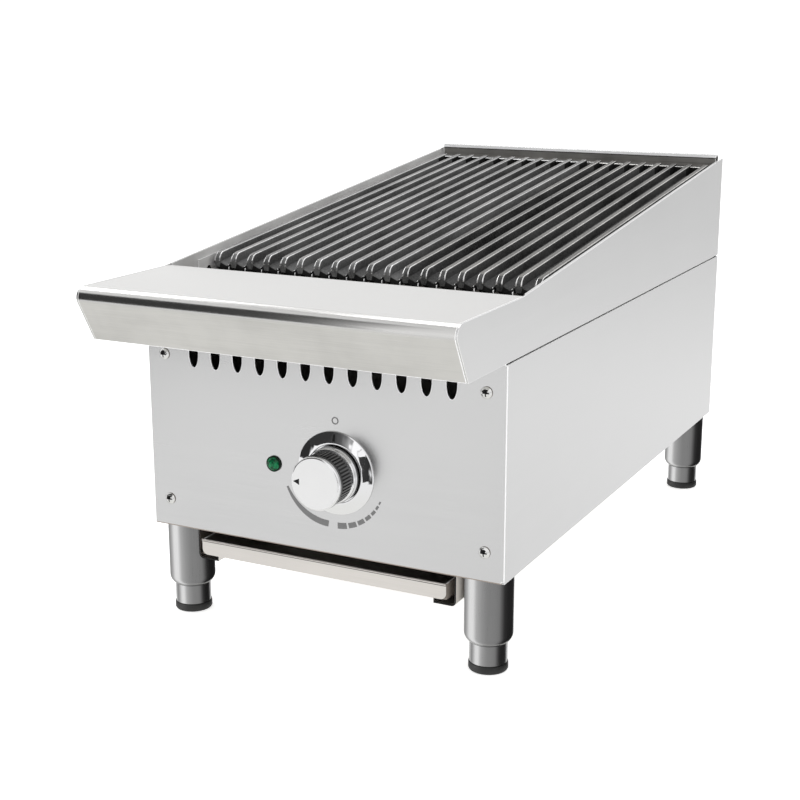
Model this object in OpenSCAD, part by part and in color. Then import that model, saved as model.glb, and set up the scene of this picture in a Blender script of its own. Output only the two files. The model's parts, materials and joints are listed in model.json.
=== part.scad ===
// Countertop electric charbroiler: stainless body on four adjustable legs, sloping cast-iron grates in two
// castings, a rolled front ledge, one regulator knob with a pilot lamp, and a drip tray on two runners.
// The modules work in the body's own frame: x = 0 at the middle, y = 0 at the front panel's face and growing
// to the back, z = 0 at the underside of the body. in_body() then puts the origin on the floor, below the
// middle of the overall outline.

/* [Body] */
// Width over the side panels
body_w = 305; // [300:1:312]
// Depth from the front panel's face to the back edge of the sides
body_d = 538; // [530:1:550]
// Height of the body's underside above the floor
leg_h = 76; // [70:1:90]
// Height of the seam between the lower and the upper side sheets
seam_z = 162; // [160:1:164]
// Height of the front ledge's deck
deck_z = 205.5; // [204:0.5:208]
// Height of the side sheets at their back corner
side_back_z = 259.3; // [257:0.1:262]
// Height of the back splash's flange
splash_z = 263; // [262.5:0.5:266]
// Thickness of the stainless sheets
sheet_t = 1.2; // [1.0:0.1:1.5]

/* [Front ledge] */
// How far the nose stands out from the front panel
nose_out = 83; // [80:1:88]
// Radius of the rolled nose
nose_r = 8; // [7:0.5:9]
// Lean of the nose's lower face from the vertical, in degrees
nose_lean = 29; // [26:1:31]
// Distance of the deck's back edge from the front panel's face
deck_back_y = 30; // [28:1:31]

/* [Grates] */
// Bars on the left casting
left_bars = 11; // [11:1:11]
// Bars on the right casting
right_bars = 8; // [8:1:8]
// Distance between bars
bar_pitch = 15.67; // [15.4:0.01:15.7]
// Width of a bar's ridge
ridge_w = 4.4; // [4:0.1:5]
// Height of a bar
bar_h = 20; // [18:1:21]
// How far the ridges lie below the sides' top edge
grate_drop = 3; // [2:0.5:4]

/* [Controls] */
// Sideways place of the knob's axis
knob_x = 15; // [10:1:20]
// Height of the knob's axis
knob_z = 65; // [60:1:70]
// Radius of the knob's face
knob_r = 20.7; // [20:0.1:22]
// Distance of the knob's face from the panel
knob_out = 31; // [28:1:34]
// Radius of the bezel
bezel_r = 32.4; // [31:0.1:34]
// Sideways place of the pilot lamp
lamp_x = -38.9; // [-42:0.1:-36]
// Radius of the pilot lamp's ring
lamp_r = 6.2; // [5.5:0.1:7]
// Vent notches along the panel's top
vents = 12; // [8:1:12]
// Distance between vent notches
vent_pitch = 20; // [18:1:21]

/* [Legs and tray] */
// Radius of a leg's tube
leg_r = 18.5; // [16:0.5:18.5]
// Distance of a leg's axis from the sides, the front and the back
leg_inset = 20; // [20:0.5:22]
// Height above the floor where the leg's tube starts to roll in
foot_h = 30; // [28:1:34]
// Half the width of the drip tray's lip
tray_half = 107.2; // [104:0.1:107.6]
// Length of the drip tray
tray_len = 500; // [470:1:505]
// Depth of the runners below the body
runner_h = 25; // [25:0.5:27]

/* [Hidden] */
$fn = 64;

steel = [0.80, 0.80, 0.79];
dark_steel = [0.42, 0.41, 0.40];
iron = [0.20, 0.20, 0.21];
chrome = [0.88, 0.88, 0.90];
black = [0.08, 0.08, 0.08];

half_w = body_w / 2;
inner_x = half_w - sheet_t;             // inner face of the side sheets
flange_x = inner_x - sheet_t;           // inner face of the doubled sheet behind the seam
liner_x = flange_x - 0.2;               // outer face of the side liners
seam_gap = 1.5;
lip_z = seam_z + seam_gap;              // underside of the ledge and of the upper side sheets
gland_out = 22;                         // how far the cord gland stands out at the back
y_mid = (body_d + gland_out - nose_out) / 2;
nose_y = nose_r - nose_out;             // centre of the nose's roll
nose_z = deck_z - nose_r;
kink_y = 25;                            // where the sides' top edge starts to rise
slope = atan((side_back_z - deck_z) / (body_d - kink_y));
side_clear = 0.2;                       // gap between a sheet's edge and the side sheet beside it
baffle_y = 66;                          // front face of the baffle's upright part
back_liner_y = body_d - 16.8;
fit = 0.05;                             // radial clearance of a running fit
rest_gap = 0.3;                         // gap under a piece that lifts or slides

// In the grate plane's frame: s runs up the slope from the kink, n is square to it
bar_front = 57;
bar_back = bar_front + 438;
bed_back = bar_back - 22;
nose_roll = 8;
first_bar_x = -bar_pitch * (left_bars + right_bars - 1) / 2;
element_n = -62;
element_r = 4;
element_gap = 36;                       // distance between the runs of an element

function edge_z(y) = deck_z + (y - kink_y) * tan(slope);
function bar_x(i) = first_bar_x + i * bar_pitch;

module in_body() { translate([0, -y_mid, leg_h]) children(); }
module along_x(x0, x1) { translate([x0, 0, 0]) rotate([90, 0, 90]) linear_extrude(x1 - x0) children(); }
module along_y(y0, y1) { translate([0, y1, 0]) rotate([90, 0, 0]) linear_extrude(y1 - y0) children(); }
module on_side(side) { if (side > 0) children(); else mirror([1, 0, 0]) children(); }
module rod_y(x, z, y0, y1, r) { translate([x, y1, z]) rotate([90, 0, 0]) cylinder(h = y1 - y0, r = r); }
module rod_x(x0, x1, y, z, r) { translate([x0, y, z]) rotate([0, 90, 0]) cylinder(h = x1 - x0, r = r); }
module rod_z(x, y, z0, z1, r) { translate([x, y, z0]) cylinder(h = z1 - z0, r = r); }
module box(a, b) { translate(a) cube(b - a); }
module grate_plane() {
    translate([0, kink_y, deck_z - grate_drop]) rotate([slope, 0, 0]) children();
}
module flat_box(a, b) {
    translate(a) square(b - a);
}

// ---------------------------------------------------------------- housing

// Side view of the ledge, drawn inward by i; back is where it is cut off
module nose_outline(i, back) {
    r = nose_r - i;
    tangent = [nose_y - r * cos(nose_lean), nose_z - r * sin(nose_lean)];
    lip_y = nose_y - (r + (lip_z + i - nose_z) * sin(nose_lean)) / cos(nose_lean);
    translate([nose_y, nose_z]) circle(r);
    polygon([
        [nose_y, nose_z + r], [back, nose_z + r], [back, lip_z + i], [lip_y, lip_z + i], tangent
    ]);
}

// One vent notch: a slot whose foot and head narrow to a rounded point
module vent_outline() {
    half = 4.25;
    taper = 11;
    foot = 132.8;
    head = 158;
    steps = 9;
    function arch(k) = [half * sin(90 * k / steps), taper * cos(90 * k / steps)];
    polygon(concat(
        [for (k = [0 : steps]) [arch(k)[0], foot + taper - arch(k)[1]]],
        [for (k = [steps : -1 : 0]) [arch(k)[0], head - taper + arch(k)[1]]],
        [for (k = [1 : steps]) [-arch(k)[0], head - taper + arch(k)[1]]],
        [for (k = [steps : -1 : 1]) [-arch(k)[0], foot + taper - arch(k)[1]]]
    ));
}

screw_x = 137;
screw_low_z = 22.5;
screw_high_z = 141;
corner_notch = 2;

module front_panel() {
    top = 178;
    color(steel) in_body() difference() {
        union() {
            along_y(0, sheet_t) difference() {
                union() {
                    flat_box([-half_w, 0], [half_w, seam_z - 0.2]);
                    flat_box([side_clear - inner_x, 0], [inner_x - side_clear, top]);
                }
                for (i = [0 : vents - 1]) {
                    translate([(i - (vents - 1) / 2) * vent_pitch, 0]) vent_outline();
                }
                flat_box([half_w - corner_notch, -1], [half_w + 1, corner_notch]);
            }
            box([-98, sheet_t / 2, 0], [98, 16, sheet_t]);
        }
        for (x = [-screw_x, screw_x], z = [screw_low_z, screw_high_z]) rod_y(x, z, -1, 3, 2.2);
        rod_y(knob_x, knob_z, -1, 3, 5.2);
        rod_y(lamp_x, knob_z, -1, 3, 5.0);
    }
}

module side_panel(side) {
    flange = 25;
    foot_flange = half_w - 100;
    color(steel) in_body() on_side(side) difference() {
        union() {
            box([inner_x, sheet_t, 0], [half_w, body_d, seam_z]);
            box([half_w - flange, sheet_t, sheet_t], [inner_x, 2 * sheet_t, seam_z - 14]);
            box([half_w - flange, body_d - 2 * sheet_t, sheet_t], [inner_x, body_d - sheet_t, seam_z - 14]);
            box([half_w - foot_flange, sheet_t, 0], [inner_x, body_d - sheet_t, sheet_t]);
            box([flange_x, 10, seam_z - 12], [inner_x, body_d - 10, seam_z + 13]);
        }
        for (z = [screw_low_z, screw_high_z]) rod_y(screw_x, z, 0, 3, 2.1);
        for (z = back_screw_zs) rod_y(screw_x, z, body_d - 4, body_d + 1, 2.1);
        if (side > 0) rod_y(gland_x, gland_z, body_d - 4, body_d + 1, 15.2);
        leg_bolt_holes();
        for (y = rivet_ys) rod_z(rivet_x, y, -1, 2, 2.05);
    }
}

module back_panel() {
    color(steel) in_body() difference() {
        box([side_clear - inner_x, body_d - sheet_t, 0], [inner_x - side_clear, body_d, 239]);
        for (x = [-screw_x, screw_x], z = back_screw_zs) rod_y(x, z, body_d - 3, body_d + 1, 2.2);
        for (x = [-60 : 20 : 60]) louvre_slot(x, 60, 100);
        rod_y(gland_x, gland_z, body_d - 3, body_d + 1, 10.2);
    }
}

// An upright louvre slot through the back panel, round at both ends
module louvre_slot(x, z0, z1) {
    along_y(body_d - 3, body_d + 1) {
        translate([x, z0]) circle(3);
        translate([x, z1]) circle(3);
        flat_box([x - 3, z0], [x + 3, z1]);
    }
}

pan_open_x = 92;
pan_open_y0 = 72;
pan_open_y1 = 485;

module base_pan() {
    color(dark_steel) in_body() difference() {
        box([0.1 - inner_x, 2 * sheet_t + 0.2, sheet_t],
            [inner_x - 0.1, body_d - 2 * sheet_t - 0.2, 2 * sheet_t]);
        box([-pan_open_x, pan_open_y0, 0], [pan_open_x, pan_open_y1, 5]);
        leg_bolt_holes();
        on_side(-1) leg_bolt_holes();
        for (side = [-1, 1], y = rivet_ys) on_side(side) rod_z(rivet_x, y, 0, 4, 2.05);
    }
}

module upper_side(side) {
    hem = 22;       // height of the strip folded down inside the top edge
    color(steel) in_body() on_side(side) difference() {
        union() {
            along_x(inner_x, half_w) {
                nose_outline(0, kink_y);
                polygon([
                    [kink_y - 1, lip_z], [kink_y - 1, deck_z], [kink_y, deck_z], [body_d, side_back_z],
                    [body_d, lip_z]
                ]);
            }
            along_x(flange_x, inner_x) polygon([
                [deck_back_y + 4, edge_z(deck_back_y + 4) - hem], [deck_back_y + 4, edge_z(deck_back_y + 4)],
                [body_d - 12, edge_z(body_d - 12)], [body_d - 12, edge_z(body_d - 12) - hem]
            ]);
        }
        for (p = liner_screw_places) rod_x(flange_x - 1, inner_x, p[0], edge_z(p[0]) - p[1], 1.6);
    }
}

module front_ledge() {
    end = inner_x - side_clear;
    color(steel) in_body() union() {
        difference() {
            along_x(-end, end) nose_outline(0, deck_back_y);
            along_x(-end - 1, end + 1) nose_outline(sheet_t, deck_back_y + 1);
            box([-end - 1, -0.3, lip_z - 1], [end + 1, deck_back_y + 1, lip_z + 10]);
        }
        box([-end, deck_back_y - sheet_t, deck_z - 14], [end, deck_back_y, deck_z - sheet_t / 2]);
    }
}

module back_splash() {
    face_y = body_d - 9.2;
    ends = inner_x - 3.3;
    color(steel) in_body() along_x(-ends, ends) {
        flat_box([face_y, 205], [face_y + sheet_t, splash_z]);
        flat_box([face_y, splash_z - sheet_t], [body_d, splash_z]);
        flat_box([body_d - sheet_t, 239.3], [body_d, splash_z]);
    }
}

// ---------------------------------------------------------------- firebox

throat_x = 97;      // half width of the firebox's foot
throat_z = 6;
wall_foot_z = 60;   // height where the liners turn inward

module liner(side) {
    under_edge = 6;
    color(dark_steel) in_body() on_side(side) difference() {
        intersection() {
            along_y(baffle_y + sheet_t + 0.2, back_liner_y - 0.2) polygon([
                [liner_x, side_back_z], [liner_x, wall_foot_z], [throat_x, throat_z],
                [throat_x - 0.8, throat_z + 0.9], [liner_x - sheet_t, wall_foot_z + 0.5],
                [liner_x - sheet_t, side_back_z]
            ]);
            along_x(0, half_w) polygon([
                [kink_y, 0], [kink_y, edge_z(kink_y) - under_edge], [body_d, edge_z(body_d) - under_edge],
                [body_d, 0]
            ]);
        }
        for (p = liner_screw_places) rod_x(liner_x - 3, half_w, p[0], edge_z(p[0]) - p[1], 1.6);
    }
}

module back_liner() {
    top = edge_z(back_liner_y) - 6;
    color(dark_steel) in_body() {
        along_y(back_liner_y, back_liner_y + sheet_t) polygon([
            [-liner_x, wall_foot_z], [-throat_x, throat_z], [throat_x, throat_z], [liner_x, wall_foot_z],
            [liner_x, top], [-liner_x, top]
        ]);
        box([-liner_x, back_liner_y, top - sheet_t], [liner_x, body_d - 9.4, top]);
    }
}

module front_baffle() {
    top = 197;
    bend_z = 188;
    low_z = 164;
    y0 = deck_back_y + 4;
    color(dark_steel) in_body() difference() {
        along_x(-liner_x, liner_x) polygon([
            [y0, top], [y0 + sheet_t, top], [y0 + sheet_t, bend_z + 0.5], [baffle_y + sheet_t, low_z + 0.5],
            [baffle_y + sheet_t, 2 * sheet_t], [baffle_y - 14, 2 * sheet_t], [baffle_y - 14, 3 * sheet_t],
            [baffle_y, 3 * sheet_t], [baffle_y, low_z], [y0, bend_z]
        ]);
        for (x = element_ends) rod_y(x, baffle_hole_z, baffle_y - 3, baffle_y + 5, 6);
        rod_y(lead_x, lead_z, baffle_y - 3, baffle_y + 5, 8);
    }
}

module grate_rest(s) {
    color(dark_steel) in_body() grate_plane() along_x(0.2 + sheet_t - liner_x, liner_x - sheet_t - 0.2) {
        flat_box([s, -bar_h - rest_gap - 2], [s + 16, -bar_h - rest_gap]);
        flat_box([s + 14, -bar_h - rest_gap - 18], [s + 16, -bar_h - rest_gap]);
    }
}

// ---------------------------------------------------------------- grates

module rib_section() {
    w = ridge_w / 2;
    polygon([[-w, 0], [w, 0], [w + 0.4, -7], [w - 0.6, -bar_h], [0.6 - w, -bar_h], [-w - 0.4, -7]]);
}

// The gutter on a bar's right, falling away from the ridge, with a small lip at its outer edge
module gutter_section() {
    polygon([[1.6, -6.6], [9.4, -10], [10.2, -9], [11, -9.2], [10.6, -13.4], [1.6, -11.4]]);
}

// Side view of a bar: round nose, straight ridge
module rib_outline() {
    translate([bar_front + nose_roll, -nose_roll]) circle(nose_roll);
    polygon([
        [bar_front + nose_roll, 0], [bar_back, 0], [bar_back, -bar_h], [bar_front + 12, -bar_h],
        [bar_front + 0.6, -11.6], [bar_front, -nose_roll]
    ]);
}

module drip_point(x) {
    along_x(x + 9.2, x + 10.8) polygon([
        [bar_front - 1.6, -15.6], [bar_front - 2.2, -14.4], [bar_front + 1, -10], [bar_front + 6, -10],
        [bar_front + 6, -13]
    ]);
}

module grate(first, count) {
    left = bar_x(first) - ridge_w / 2 - 0.4;
    right = bar_x(first + count - 1) + ridge_w / 2 + 0.4;
    gutters = first + count < left_bars + right_bars ? count : count - 1;
    color(iron) in_body() grate_plane() union() {
        intersection() {
            along_y(bar_front - 1, bar_back + 1) for (i = [0 : count - 1]) {
                translate([bar_x(first + i), 0]) rib_section();
            }
            along_x(left - 1, right + 1) rib_outline();
        }
        along_y(bar_front + 0.4, bed_back) for (i = [0 : gutters - 1]) {
            translate([bar_x(first + i), 0]) gutter_section();
        }
        for (i = [0 : gutters - 1]) drip_point(bar_x(first + i));
        along_x(left + 0.6, right - 0.6) {
            flat_box([bar_back - 7, -13], [bar_back, -1.2]);
            for (s = [bar_front + 30, bar_front + 170, bar_front + 310, bar_back - 26]) {
                flat_box([s, -bar_h + 0.4], [s + 8, -11.8]);
            }
        }
    }
}

// ---------------------------------------------------------------- heating elements

element_front = 20;     // s of the front ends
turn_front = 66;        // s of the front turn's centre
turn_back = 440;
function run_x(i) = element_gap / 2 + i * element_gap;
element_ends = [-run_x(3), -run_x(0), run_x(0), run_x(3)];
baffle_hole_z = deck_z - grate_drop + (baffle_y - kink_y) * tan(slope) + element_n / cos(slope);

module tube_turn(x, s, back) {
    translate([x, s, element_n]) rotate([0, 0, back ? 0 : 180])
        rotate_extrude(angle = 180) translate([element_gap / 2, 0]) circle(element_r, $fn = 32);
}

module element(side) {
    color(dark_steel) in_body() on_side(side) grate_plane() union() {
        for (i = [0, 3]) rod_y(run_x(i), element_n, element_front, turn_back, element_r);
        for (i = [1, 2]) rod_y(run_x(i), element_n, turn_front, turn_back, element_r);
        tube_turn(run_x(0) + element_gap / 2, turn_back, true);
        tube_turn(run_x(1) + element_gap / 2, turn_front, false);
        tube_turn(run_x(2) + element_gap / 2, turn_back, true);
        for (i = [0, 3]) rod_y(run_x(i), element_n, element_front - 16, element_front, 1.6);
    }
}

// Hexagon nuts that clamp the elements' ends in the baffle, one on each face of it
module element_nuts() {
    color(chrome) in_body() for (x = element_ends) difference() {
        for (y = [baffle_y - 5, baffle_y + sheet_t]) {
            translate([x, y + 5, baffle_hole_z]) rotate([90, 0, 0]) cylinder(h = 5, r = 9, $fn = 6);
        }
        grate_plane_rod(x);
    }
}

module grate_plane_rod(x) {
    grate_plane() rod_y(x, element_n, element_front - 20, turn_front, element_r + 0.1);
}

module element_support(s) {
    color(dark_steel) in_body() grate_plane() difference() {
        along_x(0.2 + sheet_t - liner_x, liner_x - sheet_t - 0.2) {
            flat_box([s, element_n - 10], [s + 2, element_n + 12]);
        }
        for (side = [-1, 1], i = [0 : 3]) rod_y(side * run_x(i), element_n, s - 1, s + 3, element_r + 0.2);
    }
}

// ---------------------------------------------------------------- controls

bushing_r = 5;
shaft_r = 3;
shaft_flat = 2.2;       // distance of the shaft's flat from its axis
knob_back = -2.6;         // y of the knob's rear edge

module regulator_body() {
    color(black) in_body() difference() {
        union() {
            box([knob_x - 23, 8, knob_z - 23], [knob_x + 23, 42, knob_z + 23]);
            rod_y(knob_x, knob_z, -4, 8.5, bushing_r);
            rod_y(knob_x, knob_z, sheet_t, 8.5, 9);
            for (x = [-16, -6, 6, 16]) translate([knob_x + x, 0, knob_z]) box([-3, 41, -14], [3, 49, -13]);
        }
        rod_y(knob_x, knob_z, -5, 30, shaft_r + fit);
    }
}

module regulator_nut() {
    color(chrome) in_body() difference() {
        translate([knob_x, 0, knob_z]) rotate([90, 0, 0]) cylinder(h = 2.4, r = 8, $fn = 6);
        rod_y(knob_x, knob_z, -5, 5, bushing_r + fit);
    }
}

module shaft_outline(r) {
    difference() {
        circle(r);
        translate([-r, shaft_flat]) square([2 * r, r]);
    }
}

module knob_shaft() {
    color(chrome) in_body() union() {
        rod_y(knob_x, knob_z, -8, 29, shaft_r);
        along_y(-24, -8) translate([knob_x, knob_z]) shaft_outline(shaft_r);
    }
}

// Half section of the knob: chrome skirt, grip and the rim round its face; v is the distance from the panel
module knob_section() {
    polygon([
        [0, -knob_back], [22, -knob_back], [22.4, 7.5], [22, 10], [19.6, 11], [19.6, knob_out - 8],
        [knob_r, knob_out - 7], [knob_r, knob_out - 1.5], [knob_r - 1.5, knob_out],
        [0, knob_out]
    ]);
}

module knob() {
    ribs = 48;
    color(chrome) in_body() difference() {
        union() {
            translate([knob_x, 0, knob_z]) rotate([90, 0, 0]) rotate_extrude() knob_section();
            for (i = [0 : ribs - 1]) translate([knob_x, 0, knob_z]) rotate([0, i * 360 / ribs, 0])
                box([19, 6.5 - knob_out, -0.5], [20.3, -10.5, 0.5]);
        }
        rod_y(knob_x, knob_z, -9.5, 0, 12);
        along_y(-24, -8) translate([knob_x, knob_z]) shaft_outline(shaft_r);
        translate([knob_x, -knob_out, knob_z]) pointer(1);
    }
}

// A triangle near the rim, pointing outward to the left; d is its depth into the face
module pointer(d) {
    along_y(-0.01, d) polygon([[-18.6, 0], [-13.4, 2.4], [-13.4, -2.4]]);
}

module knob_pointer() {
    color(black) in_body() translate([knob_x, -knob_out, knob_z]) pointer(0.98);
}

// Half section of the bezel: flat middle, then a raised ring that falls away to a thin rim
module bezel_section() {
    inner_r = 23.2;
    polygon([
        [8.8, 0.1], [bezel_r, 0.1], [bezel_r, 0.6], [bezel_r - 0.8, 1], [30, 1.7], [27, 2.7], [24.6, 3.3],
        [inner_r + 0.6, 3.3], [inner_r, 2.9], [inner_r, 1.3], [8.8, 1.3]
    ]);
}

module bezel_index() { box([knob_x - 1.2, -4, knob_z + 25.4], [knob_x + 1.2, -0.9, knob_z + 30.6]); }

module knob_bezel() {
    color(chrome) in_body() difference() {
        translate([knob_x, 0, knob_z]) rotate([90, 0, 0]) rotate_extrude() bezel_section();
        bezel_index();
    }
}

// The printed scale: a wedge that widens along its arc, then bars that shrink, and a ring at the top
wedge_from = 201;
wedge_to = 260.7;
wedge_out = [46.2, 43.9];   // outer radius at the wedge's tip and at its wide end
wedge_in = [44.6, 39];
bars_from = 271.6;
bars_r = 41.3;              // radius of the bars' middle
bar_gap = 2.4;              // all further widths along the arc are in degrees
first_bar = [10.8, 4.7];    // the first bar's width and its height in millimetres
scale_bars = 7;

module dial_scale() {
    steps = 12;
    print_t = 0.15;
    function at(r, a) = [r * cos(a), r * sin(a)];
    function wedge_a(k) = wedge_from + (wedge_to - wedge_from) * k / steps;
    function out_r(k) = wedge_out[1] + (wedge_out[0] - wedge_out[1]) * (1 - pow(k / steps, 3));
    function in_r(k) = wedge_in[0] + (wedge_in[1] - wedge_in[0]) * k / steps;
    function width(i) = first_bar[0] * (1 - 0.115 * i);
    function start(i) = i == 0 ? bars_from : start(i - 1) + width(i - 1) + bar_gap;
    color([0.45, 0.45, 0.45]) in_body() translate([knob_x, 0, knob_z]) along_y(-print_t, 0) {
        polygon(concat(
            [for (k = [0 : steps]) at(out_r(k), wedge_a(k))],
            [for (k = [steps : -1 : 0]) at(in_r(k), wedge_a(k))]
        ));
        for (i = [0 : scale_bars - 1]) {
            half_h = first_bar[1] * (1 - 0.12 * i) / 2;
            a = start(i);
            polygon([
                for (k = [0 : 3]) at(bars_r + half_h, a + width(i) * k / 3),
                for (k = [3 : -1 : 0]) at(bars_r - half_h, a + width(i) * k / 3)
            ]);
        }
        translate([0, 40.5]) difference() {
            circle(2.9);
            circle(2.0);
        }
    }
}

module lamp_body() {
    color(black) in_body() union() {
        difference() {
            rod_y(lamp_x, knob_z, -1.4, 0, lamp_r);
            rod_y(lamp_x, knob_z, -2, 1, lamp_r - 0.9);
        }
        difference() {
            rod_y(lamp_x, knob_z, -0.6, 26, 4.9);
            rod_y(lamp_x, knob_z, -1, 20, 3.6);
        }
        rod_y(lamp_x, knob_z, -0.6, 0, lamp_r - 0.8);
        for (x = [-2.4, 2.4]) box([lamp_x + x - 0.4, 25, knob_z - 1.5], [lamp_x + x + 0.4, 33, knob_z + 1.5]);
    }
}

module lamp_lens() {
    color("limegreen") in_body() intersection() {
        translate([lamp_x, 3.4, knob_z]) sphere(7.4);
        rod_y(lamp_x, knob_z, -5, -0.65, lamp_r - 1);
    }
}

// ---------------------------------------------------------------- supply

gland_x = 128;
gland_z = 22;
lead_x = gland_x;
lead_z = 18;
lead_r = 1.8;
lead_offsets = [[-4, 0], [0, 0], [4, 0]];
block_y = 30;

module terminal_block() {
    color("ivory") in_body() difference() {
        box([108, block_y, 2 * sheet_t], [148, block_y + 20, 28]);
        for (p = lead_offsets) rod_y(lead_x + p[0], lead_z + p[1], block_y + 8, block_y + 21, lead_r + 0.05);
        for (p = lead_offsets) rod_z(lead_x + 2.4 * p[0], block_y + 6, 20, 29, 2.2);
    }
}

module supply_leads() {
    color("darkslategray") in_body() for (p = lead_offsets) {
        rod_y(lead_x + p[0], lead_z + p[1], block_y + 9, body_d - 12, lead_r);
    }
}

module lead_grommet() {
    color(black) in_body() difference() {
        union() {
            rod_y(lead_x, lead_z, baffle_y, baffle_y + sheet_t, 8);
            rod_y(lead_x, lead_z, baffle_y - 2, baffle_y, 10);
            rod_y(lead_x, lead_z, baffle_y + sheet_t, baffle_y + sheet_t + 2, 10);
        }
        rod_y(lead_x, lead_z, baffle_y - 3, baffle_y + 5, 6.4);
    }
}

cord_r = 5;

module cord_gland() {
    color(black) in_body() difference() {
        union() {
            rod_y(gland_x, gland_z, body_d - 10, body_d + 1, 10);
            translate([gland_x, body_d + 5, gland_z]) rotate([90, 0, 0]) cylinder(h = 5, r = 14, $fn = 6);
            rod_y(gland_x, gland_z, body_d + 5, body_d + 15, 11.5);
            translate([gland_x, body_d + 15, gland_z]) rotate([-90, 0, 0])
                cylinder(h = gland_out - 15, r1 = 11.5, r2 = 8.5);
        }
        rod_y(gland_x, gland_z, body_d - 11, body_d + gland_out + 1, cord_r);
    }
}

module gland_nut() {
    color(black) in_body() difference() {
        translate([gland_x, body_d - sheet_t, gland_z]) rotate([90, 0, 0]) cylinder(h = 5, r = 14, $fn = 6);
        rod_y(gland_x, gland_z, body_d - 12, body_d, 10 + fit);
    }
}

// ---------------------------------------------------------------- tray and runners

runner_x = 113.5;       // outer face of the runners' web
runner_in = 95;
bend_r = 4;
rivet_x = 104.5;
rivet_ys = [84, 270, 480];
tray_z0 = 6.3 - runner_h - 0.7;     // underside of the tray

// Section of the right runner: top flange, web, rounded foot and a short upturned lip
module runner_section() {
    flat_box([99, -sheet_t], [runner_x, 0]);
    flat_box([runner_x - sheet_t, bend_r - runner_h], [runner_x, 0]);
    flat_box([runner_in, -runner_h], [runner_x - bend_r, sheet_t - runner_h]);
    flat_box([runner_in, -runner_h], [runner_in + sheet_t, 5.3 - runner_h]);
    intersection() {
        translate([runner_x - bend_r, bend_r - runner_h]) difference() {
            circle(bend_r);
            circle(bend_r - sheet_t);
        }
        flat_box([runner_x - bend_r, -runner_h], [runner_x, bend_r - runner_h]);
    }
}

module runner(side) {
    color(steel) in_body() on_side(side) difference() {
        along_y(3, body_d - 20) runner_section();
        for (y = rivet_ys) rod_z(rivet_x, y, -3, 1, 2.05);
    }
}

module runner_rivets() {
    color(chrome) in_body() for (side = [-1, 1], y = rivet_ys) on_side(side) union() {
        rod_z(rivet_x, y, -sheet_t, 2 * sheet_t, 2);
        rod_z(rivet_x, y, -sheet_t - 1, -sheet_t, 3.6);
        rod_z(rivet_x, y, 2 * sheet_t, 2 * sheet_t + 1, 3.6);
    }
}

module drip_tray() {
    wall = 1;
    front_y = -1;
    top = -7;
    r = 5;
    color(steel) in_body() union() {
        difference() {
            box([-tray_half, front_y, tray_z0], [tray_half, front_y + tray_len, top]);
            box([wall - tray_half, front_y + wall, tray_z0 + wall],
                [tray_half - wall, front_y + tray_len - wall, 0]);
            for (side = [-1, 1]) on_side(side) difference() {
                box([tray_half - r, front_y - 1, tray_z0 - 1], [tray_half + 1, front_y + wall, tray_z0 + r]);
                rod_y(tray_half - r, tray_z0 + r, front_y - 2, front_y + wall + 1, r);
            }
        }
        rod_x(-tray_half, tray_half, front_y + 0.2, top - 0.6, 1.1);
    }
}

// ---------------------------------------------------------------- legs

leg_x = half_w - leg_inset;
leg_ys = [leg_inset, body_d - leg_inset];
tube_t = 2;
plate_t = 4;
stem_r = 6;
bolt_r = 5;
pad_h = 6.5;

module leg_bolt_holes() { for (y = leg_ys) rod_z(leg_x, y, -1, 4, bolt_r + 0.2); }

// Height of the leg's underside; its lower end is rolled in to the width of the foot's barrel
leg_end = foot_h - leg_h - 7;

module leg(side, back) {
    roll_r = 8.5;
    tube_end = foot_h - leg_h;
    color(steel) in_body() on_side(side) translate([leg_x, leg_ys[back], 0]) difference() {
        union() {
            translate([0, 0, tube_end]) cylinder(h = -tube_end, r = leg_r);
            translate([0, 0, tube_end]) rotate_extrude() intersection() {
                union() {
                    translate([leg_r - roll_r, 0]) circle(roll_r);
                    flat_box([0, -roll_r], [leg_r - roll_r, 0]);
                }
                flat_box([0, leg_end - tube_end], [leg_r, 0]);
            }
        }
        translate([0, 0, tube_end]) cylinder(h = -tube_end - plate_t, r = leg_r - tube_t);
        translate([0, 0, leg_end - 1]) cylinder(h = tube_end - leg_end + 2, r = stem_r + fit);
        translate([0, 0, -plate_t - 1]) cylinder(h = plate_t + 2, r = bolt_r + 0.05);
    }
}

// The foot: round barrel below the leg, threaded stem inside it
module foot(side, back) {
    barrel_r = 14.4;
    barrel_top = leg_end - rest_gap;
    color(steel) in_body() on_side(side) translate([leg_x, leg_ys[back], 0]) union() {
        translate([0, 0, pad_h - leg_h]) cylinder(h = barrel_top - pad_h + leg_h, r = barrel_r);
        translate([0, 0, barrel_top - 1]) cylinder(h = 31, r = stem_r);
    }
}

module pad(side, back) {
    color(black) in_body() on_side(side) translate([leg_x, leg_ys[back], -leg_h]) {
        cylinder(h = pad_h, r = 15);
    }
}

module leg_bolts() {
    color(chrome) in_body() for (side = [-1, 1], y = leg_ys) on_side(side) {
        rod_z(leg_x, y, -plate_t - 3, 2 * sheet_t, bolt_r);
        translate([leg_x, y, 2 * sheet_t]) cylinder(h = 5, r = 8.5, $fn = 6);
    }
}

// ---------------------------------------------------------------- screws

back_screw_zs = [52, screw_high_z];

// A pan head with a cross recess and its shank; it stands out towards -y
module cross_screw(x, y, z) {
    head_r = 4.5;
    head_h = 2.6;
    translate([x, y, z]) rotate([90, 0, 0]) {
        difference() {
            intersection() {
                cylinder(h = head_h, r = head_r);
                translate([0, 0, head_h - 6.2]) sphere(6.2);
            }
            for (a = [0, 90]) rotate([0, 0, a]) translate([-2.6, -0.45, head_h - 1.4]) cube([5.2, 0.9, 2]);
        }
        translate([0, 0, -8]) cylinder(h = 8, r = 2);
    }
}

module front_panel_screws() {
    color(chrome) in_body() for (x = [-screw_x, screw_x], z = [screw_low_z, screw_high_z]) {
        cross_screw(x, 0, z);
    }
}

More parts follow.
